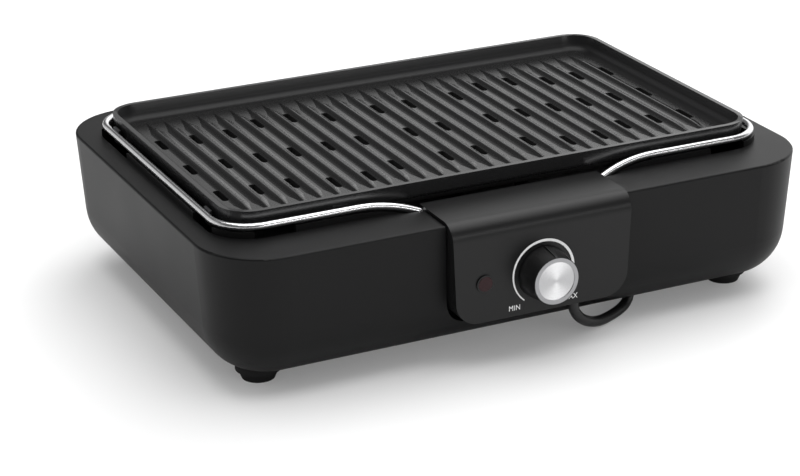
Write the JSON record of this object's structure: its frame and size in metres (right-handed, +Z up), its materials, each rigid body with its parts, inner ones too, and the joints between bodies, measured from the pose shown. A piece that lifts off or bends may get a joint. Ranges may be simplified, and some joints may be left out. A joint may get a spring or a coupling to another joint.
{
  "type": "electric table grill",
  "caption": "Table-top electric grill: tapered plastic tub on feet, lift-out heater unit with a front control box and chrome wire ring, and a loose ribbed, slotted cooking plate.",
  "frame": {"origin": "on the table under the middle of the grill, knob included and mains lead not", "axes": "+Z up, the control box faces -Y, and +X is to the right as seen from the front"},
  "size_m": [0.4198, 0.4323, 0.1115],
  "materials": {
    "housing_plastic": "fine matte grain",
    "control_plastic": "fine satin grain",
    "foot_rubber": "matte",
    "screw_steel": "zinc plated",
    "pan_aluminium": "dark non-stick coat on pressed sheet",
    "shield_steel": "black heat-proof coat on sheet",
    "cord_pvc": "satin black sheath",
    "tie_plastic": "satin",
    "plug_plastic": "fine grain",
    "pin_metal": "nickel plated",
    "block_plastic": "moulded",
    "lamp_ring_plastic": "gloss",
    "lamp_red": "unlit dark red lens",
    "lamp_glass": "clear lamp in a sleeve",
    "knob_plastic": "satin",
    "knob_ring_metal": "polished",
    "knob_disc_metal": "spun in fine rings",
    "wire_chrome": "bright plating",
    "rest_steel": "bright plating",
    "element_steel": "heat darkened sheath",
    "plate_coated": "dark non-stick coat on cast metal"
  },
  "bodies": {
    "base": {"base_housing": "housing_plastic", "foot_front_left": "foot_rubber", "foot_front_right": "foot_rubber", "foot_rear_left": "foot_rubber", "foot_rear_right": "foot_rubber", "foot_screws": "screw_steel", "drip_pan": "pan_aluminium", "pan_screws": "screw_steel", "cord_drop": "cord_pvc", "cord_run": "cord_pvc", "cord_coil": "cord_pvc", "cord_tail": "cord_pvc", "coil_tie": "tie_plastic", "plug_body": "plug_plastic", "plug_pins": "pin_metal"},
    "heater_unit": {"control_front_shell": "control_plastic", "control_rear_shell": "control_plastic", "heat_shield": "shield_steel", "shell_screws": "screw_steel", "cord_gland": "cord_pvc", "terminal_block": "block_plastic", "lamp_bezel": "lamp_ring_plastic", "lamp_lens": "lamp_red", "lamp_body": "lamp_glass", "thermostat_bracket": "shield_steel", "thermostat_body": "block_plastic", "wire_ring": "wire_chrome", "plate_rests": "rest_steel", "heating_element": "element_steel", "element_carrier_left": "rest_steel", "element_carrier_right": "rest_steel"},
    "knob": {"spindle": "shield_steel", "knob_body": "knob_plastic", "knob_bezel": "knob_ring_metal", "knob_disc": "knob_disc_metal"},
    "grill_plate": {"grill_plate": "plate_coated"}
  },
  "joints": [
    {"name": "heater_lift", "type": "slide", "parent": "base", "child": "heater_unit", "axis": [0, 0, 1], "range_m": [0, 0.075], "deforming": ["cord_drop"]},
    {"name": "plate_lift", "type": "slide", "parent": "heater_unit", "child": "grill_plate", "axis": [0, 0, 1], "range_m": [0, 0.06]},
    {"name": "knob_turn", "type": "hinge", "parent": "heater_unit", "child": "knob", "pos_m": [0, -0.155, 0.058], "axis": [0, 1, 0], "range_deg": [-140, 140]}
  ]
}
